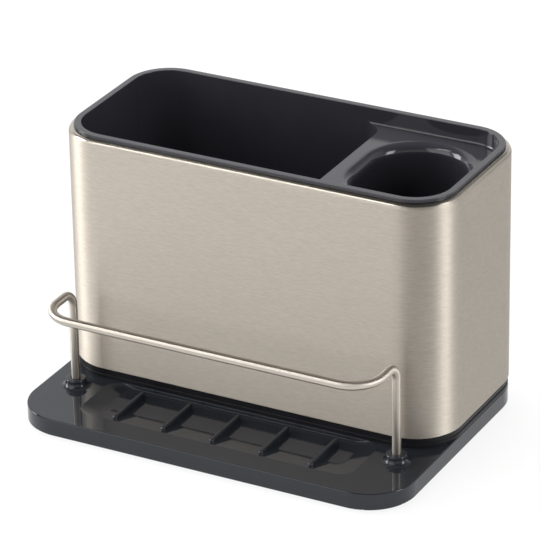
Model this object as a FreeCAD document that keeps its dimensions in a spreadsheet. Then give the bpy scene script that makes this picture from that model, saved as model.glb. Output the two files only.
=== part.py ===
import FreeCAD, Part
import math
import os
import Sketcher

# Kitchen sink caddy, in millimetres.
# +Z is up, the ribbed deck and its rail face -Y, and the origin is under the middle of the whole caddy.

DIMENSIONS = {
    # Brushed steel sleeve
    "sleeve_width": 240,
    "sleeve_depth": 112,
    "sleeve_corner": 28,
    "sleeve_height": 140.9,
    "sheet": 0.6,
    "shoulder_roll": 3.0,
    "shoulder_lip": 2.0,
    "hem_roll": 0.9,
    "hem_lip": 2.4,
    # Drip tray
    "deck_reach": 57,
    "tray_inset": 0.3,
    "deck_height": 10,
    "deck_wall": 3.8,
    "tray_wall": 2.2,
    "deck_edge": 0.7,
    "basin_depth": 3.0,
    "ring_height": 4.0,
    "ring_wall": 1.8,
    "ring_play": 0.3,
    # Drain well in the deck: a flat floor that ramps up towards the front and the ends
    "well_side": 34.5,
    "well_lead": 1.6,
    "well_floor_share": 0.645,
    "well_corner": 9,
    "well_fall": 2.2,
    "well_end_slope": 11,
    "well_margin": 0.8,
    # Ribs that stand in the well
    "rib_pitch_share": 0.1277,
    "rib_width": 3.0,
    "rib_length": 33.3,
    "rib_height": 1.8,
    "rib_round_share": 0.4,
    "rib_setback": 7.2,
    "rib_count": 5,
    # Wire rail and its bosses
    "wire": 5.0,
    "post_side": 19,
    "rail_rise": 59.1,
    "post_setback": 14.2,
    "bar_setback": 48.6,
    "post_bend": 9,
    "bar_bend": 18,
    "wire_chamfer": 0.6,
    "boss_height": 4.9,
    "boss_radius": 5.8,
    "boss_round": 0.8,
    "boss_flare_share": 0.75,
    "socket_depth": 10.5,
    "socket_play": 0.1,
    "socket_mouth": 0.4,
    "socket_wall": 2.6,
    # Rubber feet
    "foot_radius": 8,
    "foot_lift": 0.8,
    "foot_recess": 1.2,
    "foot_play": 0.15,
    "foot_wall": 1.8,
    "foot_round": 0.5,
    "foot_setback": 24,
    # Base collar
    "collar_height": 5.5,
    "collar_inset": 0.9,
    "collar_step": 2.0,
    "collar_step_inset": 0.45,
    "collar_round": 0.3,
    "collar_wall": 1.5,
    "collar_upstand": 10,
    "collar_play": 0.2,
    # Inner liner
    "liner_play": 0.3,
    "liner_wall": 1.8,
    "liner_floor": 2.0,
    "liner_lift": 0.7,
    "rim_height": 2.0,
    "rim_inset": 2.9,
    "rim_rebate": 0.6,
    "rim_rebate_height": 0.6,
    "rim_step": 0.35,
    "rim_step_height": 1.0,
    "rim_round": 0.3,
    "floor_round": 5,
    "liner_base_round": 1.5,
    # Divider, shelf and cup of the liner
    "shelf_drop": 9.6,
    "shelf_wall": 3.0,
    "shelf_round": 1.5,
    "divider_land": 6.3,
    "divider_corner": 12,
    "cup_land": 3.8,
    "cup_margin": 13.3,
    "cup_radius": 27,
    "cup_lip": 6.0,
    "cup_wall": 3.0,
    "core_corner": 3,
    # Drain slots in the liner's floors
    "slot_width": 3.0,
    "slot_length_share": 0.41,
    "slot_pitch_share": 0.1,
    "slot_count": 5,
    "cup_slot_length_share": 0.23,
    "cup_slot_pitch_share": 0.05,
    "cup_slot_count": 3,
    # How far a cut runs past the face that it opens
    "overrun": 0.5,
}

doc = FreeCAD.newDocument("sink_caddy")
sizes = doc.addObject("Spreadsheet::Sheet", "sizes")
for row, (alias, number) in enumerate(DIMENSIONS.items(), start=1):
    sizes.set("A%d" % row, alias)
    sizes.set("B%d" % row, str(number))
    sizes.setAlias("B%d" % row, alias)
doc.recompute()

# Places that several pieces share, as formulas on the sheet
SLEEVE_Y = "sizes.deck_reach / 2"
SLEEVE_FRONT = "(sizes.deck_reach / 2 - sizes.sleeve_depth / 2)"
TRAY_BOTTOM = "sizes.foot_lift"
DECK = "(sizes.foot_lift + sizes.deck_height)"
SLEEVE_BOTTOM = "(%s + sizes.collar_height)" % DECK
SHOULDER = "(%s + sizes.sleeve_height)" % SLEEVE_BOTTOM
RIM_TOP = "(%s + sizes.rim_height)" % SHOULDER
SHELF = "(%s - sizes.shelf_drop)" % RIM_TOP
LINER_BOTTOM = "(%s + sizes.liner_lift)" % SLEEVE_BOTTOM
LINER_FLOOR = "(%s + sizes.liner_floor)" % LINER_BOTTOM
LINER_OUTER = "(sizes.shoulder_roll + sizes.shoulder_lip + sizes.liner_play)"
LINER_INNER = "(%s + sizes.liner_wall)" % LINER_OUTER
HEM_INNER = "(sizes.hem_roll + sizes.hem_lip)"
COLLAR_UPSTAND = "(%s + sizes.collar_play)" % HEM_INNER
COLLAR_INNER = "(%s + sizes.collar_wall)" % COLLAR_UPSTAND
RING_OUTER = "(%s + sizes.ring_play)" % COLLAR_INNER
RING_INNER = "(%s + sizes.ring_wall)" % RING_OUTER
BASIN_FLOOR = "(%s - sizes.basin_depth)" % DECK
BOSS_TOP = "(%s + sizes.boss_height)" % DECK
SOCKET_BOTTOM = "(%s - sizes.socket_depth)" % BOSS_TOP
POST_Y = "(%s - sizes.post_setback)" % SLEEVE_FRONT
BAR_Y = "(%s - sizes.bar_setback)" % SLEEVE_FRONT
BAR_Z = "(%s + sizes.rail_rise)" % DECK
SOCKET_RADIUS = "(sizes.wire / 2 + sizes.socket_play)"
RAIL_SPACING = "(sizes.sleeve_width - 2 * sizes.post_side)"
RIB_PITCH = "(sizes.sleeve_width * sizes.rib_pitch_share)"
WELL_DEPTH = "(sizes.rib_setback + sizes.rib_length + sizes.well_lead - sizes.well_margin)"
WELL_FLOOR_DEPTH = "(%s * sizes.well_floor_share)" % WELL_DEPTH
CUP_EDGE = "(sizes.cup_radius + sizes.cup_lip)"
INNER_RIGHT = "(sizes.sleeve_width / 2 - %s)" % LINER_INNER
CUP_X = "(%s - sizes.shelf_round - sizes.cup_land - %s)" % (INNER_RIGHT, CUP_EDGE)
DIVIDER_X = "(%s - %s - sizes.divider_land)" % (CUP_X, CUP_EDGE)
CUP_STRAIGHT = "(sizes.sleeve_depth - 2 * (%s + sizes.cup_margin))" % CUP_EDGE

# Two heights closer than this count as one level
LEVEL_TOLERANCE = 1e-4

QUARTER = math.pi / 2


def value(formula):
    """The number that a formula on the sheet gives."""
    return float(sizes.evalExpression(formula))


def new_body(name):
    """An empty body, whose label names its file."""
    body = doc.addObject("PartDesign::Body", name)
    body.Label = name
    return body


def origin_feature(body, role):
    """A plane or axis of the body's own origin."""
    return next(feature for feature in body.Origin.OriginFeatures if feature.Role == role)


def new_sketch(body, name, role, places):
    """A sketch on an origin plane, moved by formulas along its own x, y and normal."""
    sketch = body.newObject("Sketcher::SketchObject", name)
    sketch.AttachmentSupport = [(origin_feature(body, role), "")]
    sketch.MapMode = "FlatFace"
    for axis, formula in zip("xyz", places):
        sketch.setExpression("AttachmentOffset.Base." + axis, formula)
    return sketch


def dimension(sketch, name, formula, kind, *elements):
    """A named constraint whose size is a formula on the sheet."""
    index = sketch.addConstraint(Sketcher.Constraint(kind, *elements, value(formula)))
    sketch.renameConstraint(index, name)
    sketch.setExpression("Constraints." + name, formula)


def line(start, end):
    return Part.LineSegment(FreeCAD.Vector(*start, 0), FreeCAD.Vector(*end, 0))


def circle(centre, radius):
    return Part.Circle(FreeCAD.Vector(*centre, 0), FreeCAD.Vector(0, 0, 1), radius)


def arc(centre, radius, first_quarter, quarters):
    return Part.ArcOfCircle(
        circle(centre, radius), first_quarter * QUARTER, (first_quarter + quarters) * QUARTER,
    )


def join_smoothly(sketch, *joints):
    """Tangent joints, each an element and its end, then the next element and its end."""
    for joint in joints:
        sketch.addConstraint(Sketcher.Constraint("Tangent", *joint))


def draw_rounded(sketch, width, depth, left_radius, right_radius, tag=""):
    """A rounded rectangle about the sketch's origin."""
    half_width = value(width) / 2
    half_depth = value(depth) / 2
    left = value(left_radius)
    right = value(right_radius)
    first = sketch.GeometryCount
    sketch.addGeometry([
        line((left - half_width, -half_depth), (half_width - right, -half_depth)),
        line((half_width, right - half_depth), (half_width, half_depth - right)),
        line((half_width - right, half_depth), (left - half_width, half_depth)),
        line((-half_width, half_depth - left), (-half_width, left - half_depth)),
        arc((half_width - right, right - half_depth), right, 3, 1),
        arc((half_width - right, half_depth - right), right, 0, 1),
        arc((left - half_width, half_depth - left), left, 1, 1),
        arc((left - half_width, left - half_depth), left, 2, 1),
    ], False)
    front, right_side, back, left_side = range(first, first + 4)
    front_right, back_right, back_left, front_left = range(first + 4, first + 8)
    join_smoothly(
        sketch,
        (front, 2, front_right, 1), (front_right, 2, right_side, 1),
        (right_side, 2, back_right, 1), (back_right, 2, back, 1),
        (back, 2, back_left, 1), (back_left, 2, left_side, 1),
        (left_side, 2, front_left, 1), (front_left, 2, front, 1),
    )
    for side in (front, back):
        sketch.addConstraint(Sketcher.Constraint("Horizontal", side))
    for side in (right_side, left_side):
        sketch.addConstraint(Sketcher.Constraint("Vertical", side))
    sketch.addConstraint(Sketcher.Constraint("Equal", front_right, back_right))
    sketch.addConstraint(Sketcher.Constraint("Equal", front_left, back_left))
    dimension(sketch, "right" + tag, "(%s) / 2" % width, "DistanceX", -1, 1, right_side, 1)
    dimension(sketch, "left" + tag, "(%s) / 2" % width, "DistanceX", left_side, 1, -1, 1)
    dimension(sketch, "back" + tag, "(%s) / 2" % depth, "DistanceY", -1, 1, back, 1)
    dimension(sketch, "front" + tag, "(%s) / 2" % depth, "DistanceY", front, 1, -1, 1)
    dimension(sketch, "right_radius" + tag, right_radius, "Radius", front_right)
    dimension(sketch, "left_radius" + tag, left_radius, "Radius", front_left)


def draw_inset(sketch, inset, tag=""):
    """The sleeve's outline, drawn in by an inset."""
    draw_rounded(
        sketch,
        "sizes.sleeve_width - 2 * %s" % inset,
        "sizes.sleeve_depth - 2 * %s" % inset,
        "sizes.sleeve_corner - %s" % inset,
        "sizes.sleeve_corner - %s" % inset,
        tag,
    )


def inset_sketch(body, name, inset, level):
    """A sketch at a level with the sleeve's outline drawn in by an inset."""
    sketch = new_sketch(body, name, "XY_Plane", ("0", SLEEVE_Y, level))
    draw_inset(sketch, inset)
    return sketch


def draw_stadium(sketch, radius, straight, offset="0"):
    """Two straight sides along the sketch's y, closed by half circles, at an offset along its x."""
    middle = value(offset)
    side = value(radius)
    half = value(straight) / 2
    first = sketch.GeometryCount
    sketch.addGeometry([
        line((middle + side, -half), (middle + side, half)),
        line((middle - side, half), (middle - side, -half)),
        arc((middle, half), side, 0, 2),
        arc((middle, -half), side, 2, 2),
    ], False)
    right_side, left_side, back, front = range(first, first + 4)
    join_smoothly(
        sketch,
        (right_side, 2, back, 1), (back, 2, left_side, 1),
        (left_side, 2, front, 1), (front, 2, right_side, 1),
    )
    sketch.addConstraint(Sketcher.Constraint("Equal", back, front))
    sketch.addConstraint(Sketcher.Constraint("Symmetric", back, 3, front, 3, -1))
    dimension(sketch, "radius", radius, "Radius", back)
    dimension(sketch, "straight", straight, "DistanceY", front, 3, back, 3)
    dimension(sketch, "offset", offset, "DistanceX", -1, 1, back, 3)


def draw_disc(sketch, radius):
    """One circle at the sketch's origin."""
    sketch.addGeometry(circle((0, 0), value(radius)), False)
    sketch.addConstraint(Sketcher.Constraint("Coincident", 0, 3, -1, 1))
    dimension(sketch, "radius", radius, "Radius", 0)


def draw_circles(sketch, radius, spacing_x, spacing_y=None):
    """Circles at the ends of a line along x, or at the corners of a rectangle, about the origin."""
    half_x = value(spacing_x) / 2
    half_y = value(spacing_y) / 2 if spacing_y else 0
    rows = (-half_y, half_y) if spacing_y else (half_y,)
    for row, y in enumerate(rows):
        for x in (-half_x, half_x):
            sketch.addGeometry(circle((x, y), value(radius)), False)
        left, right = 2 * row, 2 * row + 1
        tag = "_%d" % row
        dimension(sketch, "left_radius" + tag, radius, "Radius", left)
        sketch.addConstraint(Sketcher.Constraint("Equal", left, right))
        sketch.addConstraint(Sketcher.Constraint("Symmetric", left, 3, right, 3, -2))
    dimension(sketch, "spacing", spacing_x, "DistanceX", 0, 3, 1, 3)
    if spacing_y:
        sketch.addConstraint(Sketcher.Constraint("Symmetric", 0, 3, 2, 3, -1))
        dimension(sketch, "row_spacing", spacing_y, "DistanceY", 0, 3, 2, 3)
    else:
        sketch.addConstraint(Sketcher.Constraint("PointOnObject", 0, 3, -1))


def pad(body, sketch, length, downwards=False):
    """Material from a sketch, along its normal or against it."""
    feature = body.newObject("PartDesign::Pad", sketch.Name + "_pad")
    feature.Profile = sketch
    feature.Reversed = downwards
    feature.setExpression("Length", length)
    doc.recompute()
    return feature


def pocket(body, sketch, depth, upwards=False):
    """A cut from a sketch, against its normal or along it, that must remove material."""
    before = body.Shape.Volume
    feature = body.newObject("PartDesign::Pocket", sketch.Name + "_pocket")
    feature.Profile = sketch
    feature.Reversed = upwards
    feature.setExpression("Length", depth)
    doc.recompute()
    if not body.Shape.Volume < before:
        raise RuntimeError(feature.Name + " cuts nothing")
    return feature


def sweep(body, name, section, path):
    """The section swept along the path."""
    feature = body.newObject("PartDesign::AdditivePipe", name)
    feature.Profile = section
    feature.Spine = (path, [])
    doc.recompute()
    return feature


def row_pattern(body, feature, pitch, count):
    """Copies of a feature along X."""
    pattern = body.newObject("PartDesign::LinearPattern", feature.Name + "_row")
    pattern.Originals = [feature]
    pattern.Direction = (origin_feature(body, "X_Axis"), [""])
    pattern.setExpression("Length", "%s * (%s - 1)" % (pitch, count))
    pattern.setExpression("Occurrences", count)
    body.Tip = pattern
    doc.recompute()
    return pattern


def at_level(level):
    """A test for edges that lie flat at a level."""
    height = value(level)

    def test(edge):
        box = edge.BoundBox
        return abs(box.ZMin - height) < LEVEL_TOLERANCE and abs(box.ZMax - height) < LEVEL_TOLERANCE
    return test


def flat_face(shape, level):
    """The largest flat face at a level."""
    is_flat = at_level(level)
    return max((face for face in shape.Faces if is_flat(face)), key=lambda face: face.Area)


def outer_loop(shape, level):
    """The outer edges of the largest flat face at a level."""
    return flat_face(shape, level).OuterWire.Edges


def inner_loops(shape, level):
    """The edges of the openings in the largest flat face at a level."""
    face = flat_face(shape, level)
    return [edge for wire in face.Wires if not wire.isSame(face.OuterWire) for edge in wire.Edges]


def level_edges(shape, level):
    """Every edge at a level."""
    is_flat = at_level(level)
    return [edge for edge in shape.Edges if is_flat(edge)]


def dress(body, kind, name, size_name, size, edges):
    """A fillet or chamfer on edges of the body's last feature."""
    base = body.Tip
    names = [
        "Edge%d" % (index + 1)
        for index, edge in enumerate(base.Shape.Edges)
        if any(edge.isSame(wanted) for wanted in edges)
    ]
    if not names:
        raise RuntimeError(name + " finds no edge")
    feature = body.newObject("PartDesign::" + kind, name)
    feature.Base = (base, names)
    feature.setExpression(size_name, size)
    doc.recompute()
    return feature


def fillet(body, name, radius, edges):
    return dress(body, "Fillet", name, "Radius", radius, edges)


def chamfer(body, name, size, edges):
    return dress(body, "Chamfer", name, "Size", size, edges)


def circles_of(shape, level, radius):
    """The circular edges of a radius at a level."""
    size = value(radius)
    return [
        edge for edge in level_edges(shape, level)
        if isinstance(edge.Curve, Part.Circle) and abs(edge.Curve.Radius - size) < LEVEL_TOLERANCE
    ]


def make_tray():
    """Deck, ribs, drain well, rail bosses, locating ring, drip basin and hollow underside."""
    body = new_body("drip_tray")
    depth = "(sizes.deck_reach + sizes.sleeve_depth - sizes.tray_inset)"
    width = "(sizes.sleeve_width - 2 * sizes.tray_inset)"
    corner = "(sizes.sleeve_corner - sizes.tray_inset)"
    middle = "(-sizes.tray_inset / 2)"
    plan = new_sketch(body, "tray_plan", "XY_Plane", ("0", middle, TRAY_BOTTOM))
    draw_rounded(plan, width, depth, corner, corner)
    pad(body, plan, "sizes.deck_height")
    edges = outer_loop(body.Tip.Shape, DECK) + outer_loop(body.Tip.Shape, TRAY_BOTTOM)
    fillet(body, "tray_edges", "sizes.deck_edge", edges)

    ring = inset_sketch(body, "ring_plan", RING_OUTER, DECK)
    pad(body, ring, "sizes.ring_height")
    basin_depth = "sizes.ring_height + sizes.basin_depth"
    basin = inset_sketch(body, "basin_plan", RING_INNER, "%s + sizes.ring_height" % DECK)
    pocket(body, basin, basin_depth)

    well_y = "%s - sizes.well_margin - %s / 2" % (SLEEVE_FRONT, WELL_DEPTH)
    well_floor_y = "%s - sizes.well_margin - %s / 2" % (SLEEVE_FRONT, WELL_FLOOR_DEPTH)
    brim = new_sketch(body, "well_brim", "XY_Plane", ("0", well_y, DECK))
    well_width = "(sizes.sleeve_width - 2 * sizes.well_side)"
    draw_rounded(brim, well_width, WELL_DEPTH, "sizes.well_corner", "sizes.well_corner")
    sump = new_sketch(body, "well_sump", "XY_Plane", ("0", well_floor_y, "%s - sizes.well_fall" % DECK))
    sump_corner = "sizes.well_corner * sizes.well_floor_share"
    draw_rounded(
        sump, "%s - 2 * sizes.well_end_slope" % well_width, WELL_FLOOR_DEPTH,
        sump_corner, sump_corner,
    )
    before = body.Shape.Volume
    well = body.newObject("PartDesign::SubtractiveLoft", "drain_well")
    well.Profile = brim
    well.Sections = [sump]
    well.Ruled = True
    doc.recompute()
    if not body.Shape.Volume < before:
        raise RuntimeError("the drain well cuts nothing")

    hollow = new_sketch(body, "rear_hollow", "XY_Plane", ("0", middle, TRAY_BOTTOM))
    hollow_width = "%s - 2 * sizes.tray_wall" % width
    hollow_corner = "%s - sizes.tray_wall" % corner
    draw_rounded(
        hollow, hollow_width, "%s - 2 * sizes.tray_wall" % depth, hollow_corner, hollow_corner,
    )
    pocket(body, hollow, "sizes.deck_height - sizes.basin_depth - sizes.tray_wall", upwards=True)
    front_depth = "(sizes.deck_reach + %s - 2 * sizes.tray_wall)" % RING_INNER
    front_y = "%s + %s - sizes.tray_wall - %s / 2" % (SLEEVE_FRONT, RING_INNER, front_depth)
    front_hollow = new_sketch(body, "front_hollow", "XY_Plane", ("0", front_y, TRAY_BOTTOM))
    draw_rounded(front_hollow, hollow_width, front_depth, hollow_corner, hollow_corner)
    pocket(body, front_hollow, "sizes.deck_height - sizes.deck_wall", upwards=True)

    feet_x = "(sizes.sleeve_width - 2 * sizes.foot_setback)"
    feet_y = "(sizes.deck_reach + sizes.sleeve_depth - 2 * sizes.foot_setback)"
    foot_seats = new_sketch(body, "foot_seats", "XY_Plane", ("0", "0", TRAY_BOTTOM))
    draw_circles(foot_seats, "sizes.foot_radius + sizes.foot_play + sizes.foot_wall", feet_x, feet_y)
    pad(body, foot_seats, "sizes.deck_height - sizes.deck_wall")
    foot_recesses = new_sketch(body, "foot_recesses", "XY_Plane", ("0", "0", TRAY_BOTTOM))
    draw_circles(foot_recesses, "sizes.foot_radius + sizes.foot_play", feet_x, feet_y)
    pocket(body, foot_recesses, "sizes.foot_recess", upwards=True)

    socket_end = "%s - sizes.tray_wall" % SOCKET_BOTTOM
    sockets = new_sketch(body, "socket_tubes", "XY_Plane", ("0", POST_Y, socket_end))
    draw_circles(sockets, "%s + sizes.socket_wall" % SOCKET_RADIUS, RAIL_SPACING)
    pad(body, sockets, "%s - %s + sizes.tray_wall" % (DECK, SOCKET_BOTTOM))
    bosses = new_sketch(body, "boss_plan", "XY_Plane", ("0", POST_Y, DECK))
    draw_circles(bosses, "sizes.boss_radius", RAIL_SPACING)
    pad(body, bosses, "sizes.boss_height")
    fillet(body, "boss_rounds", "sizes.boss_round", level_edges(body.Tip.Shape, BOSS_TOP))
    flare = "(sizes.boss_height - sizes.boss_round) * sizes.boss_flare_share"
    fillet(body, "boss_flares", flare, circles_of(body.Tip.Shape, DECK, "sizes.boss_radius"))
    bores = new_sketch(body, "socket_plan", "XY_Plane", ("0", POST_Y, BOSS_TOP))
    draw_circles(bores, SOCKET_RADIUS, RAIL_SPACING)
    pocket(body, bores, "sizes.socket_depth")
    mouths = circles_of(body.Tip.Shape, BOSS_TOP, SOCKET_RADIUS)
    chamfer(body, "socket_mouths", "sizes.socket_mouth", mouths)

    rib_y = "%s - sizes.rib_setback - sizes.rib_length / 2" % SLEEVE_FRONT
    first_x = "-%s * (sizes.rib_count - 1) / 2" % RIB_PITCH
    rib_root = "(sizes.deck_wall + sizes.well_fall) / 2"
    rib_plan = new_sketch(body, "rib_plan", "XY_Plane", (first_x, rib_y, "%s - %s" % (DECK, rib_root)))
    draw_stadium(rib_plan, "sizes.rib_width / 2", "sizes.rib_length - sizes.rib_width")
    rib = pad(body, rib_plan, "sizes.rib_height + %s" % rib_root)
    row_pattern(body, rib, RIB_PITCH, "sizes.rib_count")
    rib_tops = level_edges(body.Tip.Shape, "%s + sizes.rib_height" % DECK)
    fillet(body, "rib_rounds", "sizes.rib_width * sizes.rib_round_share", rib_tops)
    return body


def make_foot(name, side, end):
    """Rubber foot, seated in its recess under the tray."""
    body = new_body(name)
    plan = new_sketch(body, name + "_plan", "XY_Plane", ("0", "0", "0"))
    draw_disc(plan, "sizes.foot_radius")
    pad(body, plan, "sizes.foot_lift + sizes.foot_recess")
    fillet(body, name + "_round", "sizes.foot_round", level_edges(body.Tip.Shape, "0"))
    body.setExpression("Placement.Base.x", "%d * (sizes.sleeve_width / 2 - sizes.foot_setback)" % side)
    half_depth = "(sizes.deck_reach + sizes.sleeve_depth) / 2"
    body.setExpression("Placement.Base.y", "%d * (%s - sizes.foot_setback)" % (end, half_depth))
    return body


def make_collar():
    """Dark band under the steel: a stepped foot, a shoulder for the hem and an upstand inside it."""
    body = new_body("base_collar")
    pad(body, inset_sketch(body, "collar_step_plan", "sizes.collar_step_inset", DECK), "sizes.collar_step")
    step_edges = outer_loop(body.Tip.Shape, "%s + sizes.collar_step" % DECK)
    fillet(body, "collar_step_round", "sizes.collar_round", step_edges)
    pad(body, inset_sketch(body, "collar_band_plan", "sizes.collar_inset", DECK), "sizes.collar_height")
    upstand = inset_sketch(body, "collar_upstand_plan", COLLAR_UPSTAND, SLEEVE_BOTTOM)
    pad(body, upstand, "sizes.collar_upstand")
    top = "%s + sizes.collar_upstand" % SLEEVE_BOTTOM
    opening = inset_sketch(body, "collar_opening_plan", COLLAR_INNER, top)
    pocket(body, opening, "sizes.collar_upstand + sizes.collar_height")
    fillet(body, "collar_upstand_round", "sizes.collar_round", outer_loop(body.Tip.Shape, top))
    return body


def make_sleeve():
    """Sheet steel tube, rolled in at the shoulder and at the hem, its section swept along the outline."""
    body = new_body("steel_sleeve")
    path = inset_sketch(body, "sleeve_plan", "0", SLEEVE_BOTTOM)
    sweep_start = "(sizes.sleeve_corner - sizes.sleeve_width / 2)"
    section = new_sketch(body, "sheet_section", "YZ_Plane", (SLEEVE_FRONT, SLEEVE_BOTTOM, sweep_start))
    height = value("sizes.sleeve_height")
    sheet = value("sizes.sheet")
    roll = value("sizes.shoulder_roll")
    hem = value("sizes.hem_roll")
    lip_end = roll + value("sizes.shoulder_lip")
    hem_end = hem + value("sizes.hem_lip")
    section.addGeometry([
        line((hem_end, 0), (hem, 0)),
        arc((hem, hem), hem, 2, 1),
        line((0, hem), (0, height - roll)),
        arc((roll, height - roll), roll, 1, 1),
        line((roll, height), (lip_end, height)),
        line((lip_end, height), (lip_end, height - sheet)),
        line((lip_end, height - sheet), (roll, height - sheet)),
        arc((roll, height - roll), roll - sheet, 1, 1),
        line((sheet, height - roll), (sheet, hem)),
        arc((hem, hem), hem - sheet, 2, 1),
        line((hem, sheet), (hem_end, sheet)),
        line((hem_end, sheet), (hem_end, 0)),
    ], False)
    join_smoothly(
        section,
        (0, 2, 1, 2), (1, 1, 2, 1), (2, 2, 3, 2), (3, 1, 4, 1),
        (6, 2, 7, 1), (7, 2, 8, 1), (8, 2, 9, 1), (9, 2, 10, 1),
    )
    for joint in ((4, 2, 5, 1), (5, 2, 6, 1), (10, 2, 11, 1), (11, 2, 0, 1), (1, 3, 9, 3), (3, 3, 7, 3)):
        section.addConstraint(Sketcher.Constraint("Coincident", *joint))
    for side in (0, 4, 6, 10):
        section.addConstraint(Sketcher.Constraint("Horizontal", side))
    for side in (2, 5, 8, 11):
        section.addConstraint(Sketcher.Constraint("Vertical", side))
    section.addConstraint(Sketcher.Constraint("PointOnObject", 0, 2, -1))
    section.addConstraint(Sketcher.Constraint("PointOnObject", 2, 1, -2))
    dimension(section, "hem_roll", "sizes.hem_roll", "Radius", 1)
    dimension(section, "shoulder_roll", "sizes.shoulder_roll", "Radius", 3)
    dimension(section, "sheet", "sizes.sheet", "DistanceX", -1, 1, 8, 1)
    dimension(section, "height", "sizes.sleeve_height", "DistanceY", -1, 1, 4, 1)
    dimension(section, "lip_end", "sizes.shoulder_roll + sizes.shoulder_lip", "DistanceX", -1, 1, 4, 2)
    dimension(section, "hem_end", HEM_INNER, "DistanceX", -1, 1, 0, 1)
    sweep(body, "sheet_tube", section, path)
    return body


def make_liner():
    """Moulded tub: stepped rim, main compartment, divider, recessed shelf and round-ended cup."""
    body = new_body("inner_liner")
    tub = inset_sketch(body, "tub_plan", LINER_OUTER, LINER_BOTTOM)
    pad(body, tub, "%s - %s" % (SHOULDER, LINER_BOTTOM))
    fillet(body, "tub_base_round", "sizes.liner_base_round", outer_loop(body.Tip.Shape, LINER_BOTTOM))

    flange = "sizes.rim_height - sizes.rim_rebate_height - sizes.rim_step_height"
    rim_steps = (
        ("rim_seat", "(sizes.rim_inset + sizes.rim_rebate)", "sizes.rim_rebate_height"),
        ("rim_flange", "sizes.rim_inset", flange),
        ("rim_crown", "(sizes.rim_inset + sizes.rim_step)", "sizes.rim_step_height"),
    )
    level = SHOULDER
    for name, inset, height in rim_steps:
        pad(body, inset_sketch(body, name, inset, level), height)
        level = "(%s + %s)" % (level, height)
    fillet(body, "rim_outer_round", "sizes.rim_round", outer_loop(body.Tip.Shape, RIM_TOP))

    mouth = inset_sketch(body, "liner_mouth", LINER_INNER, RIM_TOP)
    pocket(body, mouth, "sizes.shelf_drop")
    fillet(body, "rim_inner_round", "sizes.rim_round", inner_loops(body.Tip.Shape, RIM_TOP))
    fillet(body, "shelf_foot", "sizes.shelf_round", outer_loop(body.Tip.Shape, SHELF))

    inner_depth = "(sizes.sleeve_depth - 2 * %s)" % LINER_INNER
    inner_corner = "(sizes.sleeve_corner - %s)" % LINER_INNER
    main_width = "(%s + %s)" % (INNER_RIGHT, DIVIDER_X)
    main_x = "(%s - %s) / 2" % (DIVIDER_X, INNER_RIGHT)
    main_top = "(%s + sizes.shelf_drop / 2)" % SHELF
    main = new_sketch(body, "main_plan", "XY_Plane", (main_x, SLEEVE_Y, main_top))
    draw_rounded(main, main_width, inner_depth, inner_corner, "sizes.divider_corner")
    pocket(body, main, "%s - %s" % (main_top, LINER_FLOOR))

    cup = new_sketch(body, "cup_plan", "XY_Plane", (CUP_X, SLEEVE_Y, SHELF))
    draw_stadium(cup, "sizes.cup_radius", CUP_STRAIGHT)
    pocket(body, cup, "%s - %s" % (SHELF, LINER_FLOOR))
    fillet(body, "cup_lip", "sizes.cup_lip", inner_loops(body.Tip.Shape, SHELF))
    fillet(body, "floor_rounds", "sizes.floor_round", level_edges(body.Tip.Shape, LINER_FLOOR))

    core_left = "(%s + sizes.liner_wall)" % DIVIDER_X
    core_x = "(%s + %s) / 2" % (INNER_RIGHT, core_left)
    core = new_sketch(body, "core_plan", "XY_Plane", (core_x, SLEEVE_Y, LINER_BOTTOM))
    draw_rounded(core, "%s - %s" % (INNER_RIGHT, core_left), inner_depth, "sizes.core_corner", inner_corner)
    draw_stadium(core, "sizes.cup_radius + sizes.cup_wall", CUP_STRAIGHT, "%s - %s" % (CUP_X, core_x))
    pocket(body, core, "%s - sizes.shelf_wall - %s" % (SHELF, LINER_BOTTOM), upwards=True)

    slots = (
        (
            "main_slot", main_x, "sizes.sleeve_depth * sizes.slot_length_share",
            "sizes.sleeve_width * sizes.slot_pitch_share", "sizes.slot_count",
        ),
        (
            "cup_slot", CUP_X, "sizes.sleeve_depth * sizes.cup_slot_length_share",
            "sizes.sleeve_width * sizes.cup_slot_pitch_share", "sizes.cup_slot_count",
        ),
    )
    for name, middle, length, pitch, count in slots:
        first_x = "%s - %s * (%s - 1) / 2" % (middle, pitch, count)
        plan = new_sketch(body, name, "XY_Plane", (first_x, SLEEVE_Y, LINER_BOTTOM))
        draw_stadium(plan, "sizes.slot_width / 2", "%s - sizes.slot_width" % length)
        slot = pocket(body, plan, "sizes.liner_floor + sizes.overrun", upwards=True)
        row_pattern(body, slot, pitch, count)
    return body


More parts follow.
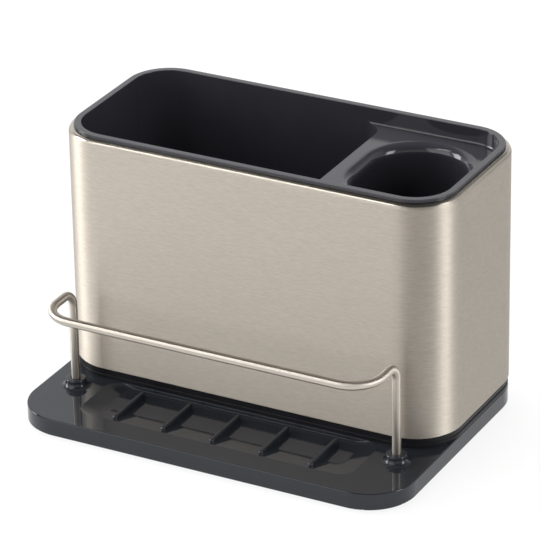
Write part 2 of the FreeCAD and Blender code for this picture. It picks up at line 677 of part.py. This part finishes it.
def make_rail():
    """One bent wire: two posts in the tray's sockets, two arms and the front bar."""
    body = new_body("cloth_rail")
    half = "%s / 2" % RAIL_SPACING
    arm_end = "(%s - sizes.post_bend)" % POST_Y
    arm_run = "(%s - %s)" % (arm_end, BAR_Y)

    bow = new_sketch(body, "bow_path", "XY_Plane", ("0", BAR_Y, BAR_Z))
    x = value(half)
    bend = value("sizes.bar_bend")
    reach = value(arm_run)
    bow.addGeometry([
        line((x, reach), (x, bend)),
        arc((x - bend, bend), bend, 3, 1),
        line((x - bend, 0), (bend - x, 0)),
        arc((bend - x, bend), bend, 2, 1),
        line((-x, bend), (-x, reach)),
    ], False)
    join_smoothly(bow, (0, 2, 1, 2), (1, 1, 2, 1), (2, 2, 3, 2), (3, 1, 4, 1))
    for arm in (0, 4):
        bow.addConstraint(Sketcher.Constraint("Vertical", arm))
    bow.addConstraint(Sketcher.Constraint("Horizontal", 2))
    bow.addConstraint(Sketcher.Constraint("Equal", 1, 3))
    bow.addConstraint(Sketcher.Constraint("PointOnObject", 2, 1, -1))
    dimension(bow, "bend", "sizes.bar_bend", "Radius", 1)
    dimension(bow, "right", half, "DistanceX", -1, 1, 0, 1)
    dimension(bow, "left", half, "DistanceX", 4, 1, -1, 1)
    dimension(bow, "right_arm", arm_run, "DistanceY", -1, 1, 0, 1)
    dimension(bow, "left_arm", arm_run, "DistanceY", -1, 1, 4, 2)
    bow_section = new_sketch(body, "bow_section", "XZ_Plane", (half, BAR_Z, "-%s" % arm_end))
    draw_disc(bow_section, "sizes.wire / 2")
    sweep(body, "bow", bow_section, bow)

    post = new_sketch(body, "post_path", "YZ_Plane", (POST_Y, SOCKET_BOTTOM, half))
    rise = "(%s - %s - sizes.post_bend)" % (BAR_Z, SOCKET_BOTTOM)
    corner = value("sizes.post_bend")
    post.addGeometry([
        line((0, 0), (0, value(rise))),
        arc((-corner, value(rise)), corner, 0, 1),
    ], False)
    join_smoothly(post, (0, 2, 1, 1))
    post.addConstraint(Sketcher.Constraint("Coincident", 0, 1, -1, 1))
    post.addConstraint(Sketcher.Constraint("Vertical", 0))
    post.addConstraint(Sketcher.Constraint("Vertical", 1, 3, 1, 2))
    dimension(post, "rise", rise, "DistanceY", 0, 1, 0, 2)
    dimension(post, "bend", "sizes.post_bend", "Radius", 1)
    post_section = new_sketch(body, "post_section", "XY_Plane", (half, POST_Y, SOCKET_BOTTOM))
    draw_disc(post_section, "sizes.wire / 2")
    right_post = sweep(body, "post", post_section, post)
    posts = body.newObject("PartDesign::Mirrored", "posts")
    posts.Originals = [right_post]
    posts.MirrorPlane = (origin_feature(body, "YZ_Plane"), [""])
    body.Tip = posts
    doc.recompute()
    chamfer(body, "post_tips", "sizes.wire_chamfer", level_edges(body.Tip.Shape, SOCKET_BOTTOM))
    return body


FEET = {
    "foot_front_left": (-1, -1),
    "foot_front_right": (1, -1),
    "foot_rear_left": (-1, 1),
    "foot_rear_right": (1, 1),
}

pieces = [make_tray(), make_collar(), make_sleeve(), make_liner(), make_rail()]
pieces += [make_foot(name, side, end) for name, (side, end) in FEET.items()]
doc.recompute()

for item in doc.Objects:
    if "Invalid" in item.State or "Error" in item.State:
        raise RuntimeError("%s failed: %s" % (item.Name, item.State))
for piece in pieces:
    if piece.Shape.isNull() or not piece.Shape.isValid() or len(piece.Shape.Solids) != 1:
        raise RuntimeError(piece.Label + " is not one valid solid")

os.makedirs("parts", exist_ok=True)
for piece in pieces:
    piece.Shape.exportStep("parts/%s.step" % piece.Label)
    box = piece.Shape.BoundBox
    print("%-18s %9.1f mm3  x %.2f %.2f  y %.2f %.2f  z %.2f %.2f" % (
        piece.Label, piece.Shape.Volume, box.XMin, box.XMax, box.YMin, box.YMax, box.ZMin, box.ZMax,
    ))
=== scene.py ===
import math

import bmesh
import bpy
from mathutils import Matrix, Vector


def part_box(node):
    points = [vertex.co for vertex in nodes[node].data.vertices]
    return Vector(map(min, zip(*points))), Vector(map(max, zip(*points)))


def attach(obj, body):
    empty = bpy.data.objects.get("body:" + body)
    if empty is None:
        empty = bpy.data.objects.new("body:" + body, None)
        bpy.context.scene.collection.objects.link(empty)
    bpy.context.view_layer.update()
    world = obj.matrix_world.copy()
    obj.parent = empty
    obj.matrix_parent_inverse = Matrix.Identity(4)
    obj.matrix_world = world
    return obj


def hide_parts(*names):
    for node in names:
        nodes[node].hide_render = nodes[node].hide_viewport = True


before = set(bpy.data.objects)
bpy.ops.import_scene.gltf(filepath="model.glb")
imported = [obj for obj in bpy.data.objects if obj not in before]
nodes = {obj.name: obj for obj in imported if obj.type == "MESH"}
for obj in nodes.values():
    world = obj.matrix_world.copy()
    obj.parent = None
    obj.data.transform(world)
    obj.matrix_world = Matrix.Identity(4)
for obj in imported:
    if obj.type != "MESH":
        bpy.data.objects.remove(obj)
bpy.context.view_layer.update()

MM = 0.001
OPAQUE = 1.0
WHITE = (1.0, 1.0, 1.0, OPAQUE)
MATRIX_SIZE = 4

# Camera, at the viewing angle of the photograph
CAMERA_PLACE = Vector((908.33, -1677.69, 1017.12)) * MM
CAMERA_TARGET = Vector((-0.109, 4.669, 84.292)) * MM
CAMERA_LENS = 255.0
CAMERA_SENSOR = 36.0
CAMERA_ROLL = math.radians(-1.025)

# Noise: detail and roughness of its three kinds, and the middle range that tones and roughness follow
FINE_NOISE = {"detail": 3.0, "roughness": 0.6}
PLAIN_NOISE = {"detail": 2.0, "roughness": 0.5}
SLOW_NOISE = {"detail": 1.0, "roughness": 0.4}
NOISE_RANGE = (0.3, 0.7)

# Sockets of the node that mixes two colours
MIX_FACTOR = 0
MIX_COLOURS = (6, 7)
MIX_RESULT = 2

# Steel sheet: tones, repeats per metre of its grain and mottle, roughness, scratches, stretched highlight
STEEL_TONES = ((0.453, 0.413, 0.36), (0.531, 0.488, 0.429))
STEEL_GRAIN = (210.0, 210.0, 1900.0)
STEEL_MOTTLE = (40.0, 40.0, 1500.0)
STEEL_ROUGHNESS = (0.56, 0.62)
STEEL_SCRATCH = 0.004 * MM
STEEL_SCRATCH_SHARE = 0.2
STEEL_STRETCH_SHARE = 0.83
STEEL_TURN_SHARE = 0.25

# Rolled edge of the steel: its height, the upper share that is fully smooth, what its roughness loses
STEEL_ROLL = 1.4 * MM
STEEL_ROLL_SHARE = 0.8
STEEL_ROLL_SMOOTHING = 0.34

# Wire rail: thickness, chamfer of its ends, bends, facets and UV map
WIRE = 5 * MM
WIRE_CHAMFER = 0.6 * MM
POST_BEND = 9 * MM
BAR_BEND = 18 * MM
BEND_STEPS = 16
WIRE_STEPS = 32
WIRE_MAP = "wire"

# Finish of the wire: tones, streaks per metre and per turn, roughness, scratches, stretched highlight
WIRE_TONES = ((0.433, 0.395, 0.343), (0.64, 0.593, 0.53))
WIRE_GRAIN = (4.0, 11.0, 1.0)
WIRE_ROUGHNESS = (0.33, 0.41)
WIRE_SCRATCH = 0.006 * MM
WIRE_SCRATCH_SHARE = 0.3
WIRE_STRETCH_SHARE = 0.95

# Plastics: two tones, two roughnesses, softness of edges, height of the slow wave in a face, gloss
PLASTICS = {
    "drip_tray": {
        "name": "charcoal_plastic",
        "tones": ((0.0155, 0.0175, 0.0225), (0.0185, 0.0205, 0.026)),
        "roughness": (0.04, 0.08),
        "edge": 0.65 * MM,
        "wave": 0.05 * MM,
        "gloss": 0.37,
    },
    "base_collar": {
        "name": "black_plastic",
        # The collar's tones are its own black plastic, made darker still as painted shade of the gap under
        # the steel's bottom edge.
        "tones": ((0.008, 0.008, 0.01), (0.0105, 0.0105, 0.0125)),
        "roughness": (0.3, 0.38),
        "edge": 0.2 * MM,
        "wave": 0.01 * MM,
        "gloss": 0.15,
    },
    "inner_liner": {
        "name": "liner_plastic",
        "tones": ((0.028, 0.028, 0.034), (0.032, 0.032, 0.039)),
        "roughness": (0.1, 0.15),
        "edge": 0.18 * MM,
        "wave": 0.02 * MM,
        "gloss": 0.5,
    },
}

# All plastics: repeats per metre of the cloudy tone, the slow wave and the fine skin, and the skin's depth
CLOUD_REPEATS = 26.0
WAVE_REPEATS = 38.0
SKIN_REPEATS = 1900.0
SKIN_DEPTH = 0.01 * MM
SKIN_SHARE = 0.15
EDGE_SAMPLES = 6
PLASTIC_IOR = 1.5

# Rubber of the feet: tones, roughness, repeats per metre and depth of its grain
RUBBER_TONES = ((0.016, 0.016, 0.016), (0.03, 0.03, 0.031))
RUBBER_ROUGHNESS = (0.7, 0.85)
RUBBER_REPEATS = 320.0
RUBBER_DEPTH = 0.05 * MM
RUBBER_SHARE = 0.3

# Studio floor: side in metres, drop under the feet, tones, and the share of white that eye and gloss see
FLOOR_SIZE = 6.0
FLOOR_DROP = 0.2 * MM
FLOOR_TONES = ((0.88, 0.88, 0.88), (0.92, 0.92, 0.92))
FLOOR_REPEATS = 3.0
FLOOR_ROUGHNESS = 0.9
FLOOR_WHITE_SHARE = 0.86
SEEN_RAYS = ("Is Camera Ray", "Is Glossy Ray", "Is Transmission Ray")

# Studio surround: brightness of the horizon, the heights over which it fades, and the dark above
HORIZON_LEVEL = 1.0
HORIZON_RISE = (0.1, 0.72)
DIM_LEVEL = 0.06

# Paper behind the object: where it starts, how high it reaches, and the side and brightness of each sheet
PAPER_BACK = (0.1, 0.45)
PAPER_RISE = (0.85, 0.6)
PAPER_SIDES = (((0.05, -0.3), 1.0), ((0.15, 0.4), 0.6))

# Soft boxes: degrees from the front towards the right, degrees up, distance and size in metres, brightness
LAMPS = {
    "front_box": {"azimuth": -26, "elevation": 32, "distance": 1.7, "size": (1.6, 1.3), "glow": 1.75},
    "right_box": {"azimuth": 93, "elevation": 20, "distance": 1.5, "size": (0.45, 1.1), "glow": 6.8},
    "left_box": {"azimuth": -77, "elevation": 20, "distance": 1.5, "size": (0.55, 1.1), "glow": 7.8},
    "top_box": {"azimuth": -46, "elevation": 54, "distance": 1.6, "size": (0.8, 0.22), "glow": 4.6},
}

# Broad light from above that no reflection shows
FLOOR_LAMP = {"azimuth": -140, "elevation": 70, "distance": 2.2, "size": (1.6, 1.6), "glow": 6.0}


class Graph:
    """A node tree whose nodes are added and linked in short calls."""

    def __init__(self, tree):
        self.tree = tree

    def feed(self, socket, value):
        """A link where the value is a socket, otherwise a constant."""
        if isinstance(value, bpy.types.NodeSocket):
            self.tree.links.new(value, socket)
        else:
            socket.default_value = value

    def feed_first(self, node, *values):
        """The node's first sockets, fed in their order."""
        for socket, value in zip(node.inputs, values):
            self.feed(socket, value)

    def feed_named(self, node, sockets):
        """The node's sockets, fed by their names."""
        for name, value in sockets.items():
            self.feed(node.inputs[name.replace("_", " ")], value)

    def node(self, kind, settings=None, **sockets):
        """A node, with its settings and its constant or linked sockets."""
        made = self.tree.nodes.new("ShaderNode" + kind)
        for name, value in (settings or {}).items():
            setattr(made, name, value)
        self.feed_named(made, sockets)
        return made

    def combine(self, operation, first, second):
        """The result of a sum, a product or the like of two numbers."""
        made = self.node("Math", {"operation": operation})
        self.feed_first(made, first, second)
        return made.outputs["Value"]

    def ramp(self, factor, span, results=(0.0, 1.0), smooth=False):
        """A number that runs over the results while the factor runs over the span."""
        kind = "SMOOTHSTEP" if smooth else "LINEAR"
        made = self.node("MapRange", {"interpolation_type": kind})
        self.feed_first(made, factor, *span, *results)
        return made.outputs["Result"]

    def axes(self, source):
        """The three numbers of a texture coordinate."""
        coords = self.node("TexCoord")
        split = self.node("SeparateXYZ", Vector=coords.outputs[source])
        return [split.outputs[axis] for axis in "XYZ"]


class Shader(Graph):
    """A material around one surface shader."""

    def __init__(self, name):
        self.material = bpy.data.materials.new(name)
        self.material.use_nodes = True
        super().__init__(self.material.node_tree)
        self.surface = self.tree.nodes["Principled BSDF"]

    def set(self, **sockets):
        """Sockets of the surface shader, constant or linked."""
        self.feed_named(self.surface, sockets)

    def noise(self, repeats, kind, source="Object"):
        """Noise over the object or its UV map, with its repeats along each axis or along all."""
        coords = self.node("TexCoord")
        vector = coords.outputs[source]
        scale = repeats
        if isinstance(repeats, tuple):
            mapping = self.node("Mapping", Vector=vector, Scale=repeats)
            vector = mapping.outputs["Vector"]
            scale = 1.0
        made = self.node(
            "TexNoise", Vector=vector, Scale=scale, Detail=kind["detail"], Roughness=kind["roughness"],
        )
        return made.outputs["Fac"]

    def between(self, noise, results):
        """A number that follows the middle range of a noise."""
        return self.ramp(noise, NOISE_RANGE, results)

    def blend(self, noise, tones):
        """A colour that follows the middle range of a noise between two tones."""
        made = self.node("Mix", {"data_type": "RGBA"})
        self.feed(made.inputs[MIX_FACTOR], self.between(noise, (0.0, 1.0)))
        for index, tone in zip(MIX_COLOURS, tones):
            made.inputs[index].default_value = (*tone, OPAQUE)
        return made.outputs[MIX_RESULT]

    def bump(self, height, distance, strength=1.0, normal=None):
        """A normal that follows a height, on top of another normal where one is given."""
        made = self.node("Bump", Height=height, Distance=distance, Strength=strength)
        if normal:
            self.feed(made.inputs["Normal"], normal)
        return made.outputs["Normal"]


def brushed_steel():
    """Warm stainless sheet with fine horizontal brushing and a smoother rolled edge."""
    shader = Shader("brushed_steel")
    grain = shader.noise(STEEL_GRAIN, FINE_NOISE)
    mottle = shader.noise(STEEL_MOTTLE, PLAIN_NOISE)
    height = shader.axes("Object")[-1]
    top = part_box("steel_sleeve")[1].z
    rolled = shader.ramp(height, (top - STEEL_ROLL, top - STEEL_ROLL * STEEL_ROLL_SHARE))
    rough = shader.between(mottle, STEEL_ROUGHNESS)
    smoothing = shader.combine("MULTIPLY", rolled, STEEL_ROLL_SMOOTHING)
    tangent = shader.node("Tangent", {"direction_type": "RADIAL", "axis": "Z"})
    shader.set(
        Base_Color=shader.blend(grain, STEEL_TONES),
        Metallic=1.0,
        Roughness=shader.combine("SUBTRACT", rough, smoothing),
        Anisotropic=STEEL_STRETCH_SHARE,
        Anisotropic_Rotation=STEEL_TURN_SHARE,
        Normal=shader.bump(grain, STEEL_SCRATCH, STEEL_SCRATCH_SHARE),
        Tangent=tangent.outputs["Tangent"],
    )
    return shader.material


def wire_steel():
    """Satin wire with streaks drawn along its length."""
    shader = Shader("rail_steel")
    streaks = shader.noise(WIRE_GRAIN, FINE_NOISE, source="UV")
    tangent = shader.node("Tangent", {"direction_type": "UV_MAP", "uv_map": WIRE_MAP})
    shader.set(
        Base_Color=shader.blend(streaks, WIRE_TONES),
        Metallic=1.0,
        Roughness=shader.between(streaks, WIRE_ROUGHNESS),
        Anisotropic=WIRE_STRETCH_SHARE,
        Normal=shader.bump(streaks, WIRE_SCRATCH, WIRE_SCRATCH_SHARE),
        Tangent=tangent.outputs["Tangent"],
    )
    return shader.material


def plastic(name, tones, roughness, edge, wave, gloss):
    """Moulded plastic: soft edges, faintly uneven gloss, a slow wave and a fine skin."""
    shader = Shader(name)
    cloud = shader.noise(CLOUD_REPEATS, FINE_NOISE)
    slow = shader.noise(WAVE_REPEATS, SLOW_NOISE)
    skin = shader.noise(SKIN_REPEATS, PLAIN_NOISE)
    soft_edge = shader.node("Bevel", {"samples": EDGE_SAMPLES}, Radius=edge)
    waves = shader.bump(slow, wave, normal=soft_edge.outputs["Normal"])
    shader.set(
        Base_Color=shader.blend(cloud, tones),
        Roughness=shader.between(cloud, roughness),
        IOR=PLASTIC_IOR,
        Specular_IOR_Level=gloss,
        Normal=shader.bump(skin, SKIN_DEPTH, SKIN_SHARE, waves),
    )
    return shader.material


def rubber():
    """Matt black rubber."""
    shader = Shader("foot_rubber")
    cloud = shader.noise(RUBBER_REPEATS, FINE_NOISE)
    shader.set(
        Base_Color=shader.blend(cloud, RUBBER_TONES),
        Roughness=shader.between(cloud, RUBBER_ROUGHNESS),
        Normal=shader.bump(cloud, RUBBER_DEPTH, RUBBER_SHARE),
    )
    return shader.material


def seen(shader):
    """One for rays from the eye, from gloss and through clear things, nought for the rest."""
    path = shader.node("LightPath")
    total, *others = (path.outputs[name] for name in SEEN_RAYS)
    for ray in others:
        total = shader.combine("MAXIMUM", total, ray)
    return total


def floor_white():
    """Pale floor that the eye and every gloss see as nearly white, with the object's shadow left on it."""
    shader = Shader("floor")
    cloud = shader.noise(FLOOR_REPEATS, PLAIN_NOISE)
    shader.set(
        Base_Color=shader.blend(cloud, FLOOR_TONES),
        Roughness=FLOOR_ROUGHNESS,
        Specular_IOR_Level=0.0,
    )
    white = shader.node("Emission", Color=WHITE, Strength=1.0)
    share = shader.combine("MULTIPLY", seen(shader), FLOOR_WHITE_SHARE)
    mix = shader.node("MixShader")
    shader.feed_first(mix, share, shader.surface.outputs["BSDF"], white.outputs["Emission"])
    shader.feed_first(shader.tree.nodes["Material Output"], mix.outputs["Shader"])
    return shader.material


def paint(thing, material):
    """Gives an object its one material."""
    thing.data.materials.clear()
    thing.data.materials.append(material)


def add(name, data):
    """A new object in the scene."""
    made = bpy.data.objects.new(name, data)
    bpy.context.scene.collection.objects.link(made)
    return made


def make_camera():
    """Camera that looks at the target with a slight roll."""
    data = bpy.data.cameras.new("camera")
    data.lens = CAMERA_LENS
    data.sensor_width = CAMERA_SENSOR
    camera = add("camera", data)
    look = (CAMERA_TARGET - CAMERA_PLACE).to_track_quat("-Z", "Y")
    roll = Matrix.Rotation(CAMERA_ROLL, MATRIX_SIZE, "Z")
    camera.matrix_world = Matrix.Translation(CAMERA_PLACE) @ look.to_matrix().to_4x4() @ roll
    bpy.context.scene.camera = camera


def bent_path(corners, bends):
    """Points along straight runs whose inner corners are rounded by bends."""
    points = [corners[0]]
    for before, corner, after, bend in zip(corners, corners[1:], corners[2:], bends):
        arriving = (corner - before).normalized()
        leaving = (after - corner).normalized()
        centre = corner + (leaving - arriving) * bend
        for step in range(BEND_STEPS + 1):
            angle = math.pi / 2 * step / BEND_STEPS
            points.append(centre - leaving * bend * math.cos(angle) + arriving * bend * math.sin(angle))
    points.append(corners[-1])
    return points


def rail_path():
    """Points along the wire and its radius at each, thinner at its two chamfered ends."""
    low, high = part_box("cloth_rail")
    radius = WIRE / 2
    side = high.x - radius
    post_y = high.y - radius
    bar_y = low.y + radius
    bar_z = high.z - radius
    corners = [
        Vector((-side, post_y, low.z)),
        Vector((-side, post_y, bar_z)),
        Vector((-side, bar_y, bar_z)),
        Vector((side, bar_y, bar_z)),
        Vector((side, post_y, bar_z)),
        Vector((side, post_y, low.z)),
    ]
    first, *middle, last = bent_path(corners, (POST_BEND, BAR_BEND, BAR_BEND, POST_BEND))
    tip = Vector((0, 0, WIRE_CHAMFER))
    path = [first, first + tip, *middle, last + tip, last]
    radii = [radius] * len(path)
    radii[0] = radii[-1] = radius - WIRE_CHAMFER
    return path, radii


def wire_rings(mesh, path, radii):
    """A ring of points round each point of the path, and the length of wire up to it."""
    rings = []
    lengths = []
    length = 0.0
    across = Vector((1, 0, 0))
    for index, point in enumerate(path):
        ahead = path[min(index + 1, len(path) - 1)]
        behind = path[max(index - 1, 0)]
        if index:
            length += (point - behind).length
        along = (ahead - behind).normalized()
        across = (across - along * across.dot(along)).normalized()
        other = along.cross(across)
        ring = []
        for step in range(WIRE_STEPS):
            angle = 2 * math.pi * step / WIRE_STEPS
            offset = across * math.cos(angle) + other * math.sin(angle)
            ring.append(mesh.verts.new(point + offset * radii[index]))
        rings.append(ring)
        lengths.append(length)
    return rings, lengths


def wire_skin(mesh, uv_layer, rings, lengths):
    """Faces between the rings and over both ends, with length and girth as UV."""
    for index in range(len(rings) - 1):
        here, there = rings[index], rings[index + 1]
        start, end = lengths[index], lengths[index + 1]
        for step in range(WIRE_STEPS):
            turn = (step + 1) % WIRE_STEPS
            face = mesh.faces.new((here[step], here[turn], there[turn], there[step]))
            face.smooth = True
            girths = (step, step + 1, step + 1, step)
            runs = (start, start, end, end)
            for loop, girth, run in zip(face.loops, girths, runs):
                loop[uv_layer].uv = (run, girth / WIRE_STEPS)
    mesh.faces.new(list(reversed(rings[0])))
    mesh.faces.new(rings[-1])
    bmesh.ops.recalc_face_normals(mesh, faces=mesh.faces)


def make_rail():
    """One bent wire, swept along its path, that stands for the CAD rail."""
    mesh = bmesh.new()
    uv_layer = mesh.loops.layers.uv.new(WIRE_MAP)
    path, radii = rail_path()
    rings, lengths = wire_rings(mesh, path, radii)
    wire_skin(mesh, uv_layer, rings, lengths)
    data = bpy.data.meshes.new("bent_wire")
    mesh.to_mesh(data)
    mesh.free()
    rail = add("bent_wire", data)
    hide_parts("cloth_rail")
    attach(rail, "rail")
    paint(rail, wire_steel())


def make_floor():
    """Plain square floor just under the feet."""
    half = FLOOR_SIZE / 2
    sides = ((-half, -half), (half, -half), (half, half), (-half, half))
    corners = [(x, y, -FLOOR_DROP) for x, y in sides]
    data = bpy.data.meshes.new("floor")
    data.from_pydata(corners, [], [range(len(corners))])
    floor = add("floor", data)
    paint(floor, floor_white())


def make_world():
    """Studio surround: a pale horizon, white paper behind on the left, fainter on the right, dark above."""
    world = bpy.data.worlds.new("studio")
    bpy.context.scene.world = world
    world.use_nodes = True
    graph = Graph(world.node_tree)
    x, y, z = graph.axes("Generated")
    horizon = graph.ramp(z, HORIZON_RISE, (HORIZON_LEVEL, 0.0), smooth=True)
    back = graph.ramp(y, PAPER_BACK, smooth=True)
    rise = graph.ramp(z, PAPER_RISE, smooth=True)
    behind = graph.combine("MULTIPLY", back, rise)
    level = graph.combine("MAXIMUM", horizon, DIM_LEVEL)
    for side, brightness in PAPER_SIDES:
        beside = graph.ramp(x, side, (0.0, brightness), smooth=True)
        level = graph.combine("MAXIMUM", level, graph.combine("MULTIPLY", behind, beside))
    background = world.node_tree.nodes["Background"]
    graph.feed_named(background, {"Color": level, "Strength": 1.0})


def make_lamp(name, azimuth, elevation, distance, size, glow):
    """A soft box that faces the object and looks as bright as its glow."""
    data = bpy.data.lights.new(name, "AREA")
    data.shape = "RECTANGLE"
    data.size, data.size_y = size
    data.energy = glow * math.pi * data.size * data.size_y
    lamp = add(name, data)
    turn = math.radians(azimuth)
    rise = math.radians(elevation)
    away = Vector((math.sin(turn) * math.cos(rise), -math.cos(turn) * math.cos(rise), math.sin(rise)))
    lamp.location = away * distance
    lamp.rotation_mode = "QUATERNION"
    lamp.rotation_quaternion = (-away).to_track_quat("-Z", "Y")
    return lamp


make_camera()
for name, settings in PLASTICS.items():
    paint(nodes[name], plastic(**settings))
paint(nodes["steel_sleeve"], brushed_steel())
foot_material = rubber()
for name, node in nodes.items():
    if name.startswith("foot_"):
        paint(node, foot_material)
make_rail()
make_floor()
make_world()
for name, settings in LAMPS.items():
    make_lamp(name, **settings)
make_lamp("floor_lamp", **FLOOR_LAMP).visible_glossy = False

bpy.context.scene.view_settings.view_transform = "Standard"
